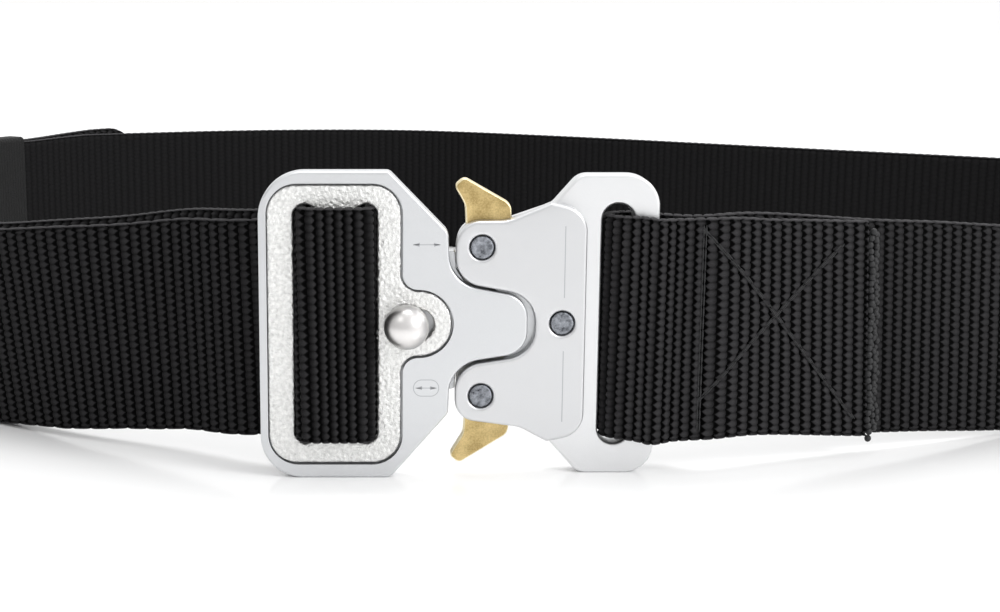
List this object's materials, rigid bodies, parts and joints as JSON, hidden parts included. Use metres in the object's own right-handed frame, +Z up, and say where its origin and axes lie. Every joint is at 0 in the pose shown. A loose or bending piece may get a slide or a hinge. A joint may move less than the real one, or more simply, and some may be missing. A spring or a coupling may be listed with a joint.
{
  "type": "tactical belt",
  "caption": "Stiff black webbing belt standing on its edge as a closed loop, with a quick-release metal buckle, an elastic keeper and a folded free end.",
  "frame": {"origin": "middle of the belt's bounding box in plan, on the floor it stands on", "axes": "+X along the loop's longest side, to the right seen from in front of the buckle, +Y from the buckle's front to the back of the loop, +Z up"},
  "size_m": [0.41, 0.325, 0.0624],
  "materials": {
    "satin_silver": "satin blasted zinc alloy",
    "textured_silver": "finely wrinkled cast zinc alloy",
    "polished_steel": "polished",
    "rivet_steel": "rough, blue-grey",
    "antique_brass": "speckled, lighter at the rims",
    "black_nylon": "coarse ribbed weave",
    "black_elastic": "fine ribbed elastic"
  },
  "bodies": {
    "belt": {"webbing": "black_nylon", "keeper": "black_elastic", "male_plate": "satin_silver", "insert_frame": "textured_silver", "female_base": "satin_silver", "female_cover": "satin_silver", "rivet_upper": "rivet_steel", "rivet_lower": "rivet_steel", "rivet_center": "rivet_steel"},
    "upper_lever": {"upper_lever": "antique_brass"},
    "lower_lever": {"lower_lever": "antique_brass"},
    "lock_stud": {"lock_stud": "polished_steel"}
  },
  "joints": [
    {"name": "upper_lever_turn", "type": "hinge", "parent": "belt", "child": "upper_lever", "pos_m": [-0.01953, -0.15252, 0.0472], "axis": [0, -1, 0], "range_deg": [0, 16], "stiffness_Nm_per_rad": 0.015, "springref_deg": -22.92},
    {"name": "lower_lever_turn", "type": "hinge", "parent": "belt", "child": "lower_lever", "pos_m": [-0.01953, -0.15252, 0.017], "axis": [0, 1, 0], "range_deg": [0, 16], "stiffness_Nm_per_rad": 0.015, "springref_deg": -22.92},
    {"name": "lock_stud_slide", "type": "slide", "parent": "belt", "child": "lock_stud", "axis": [1, 0, 0], "range_m": [0, 0.0024], "stiffness_N_per_m": 150, "springref_m": -0.004}
  ]
}
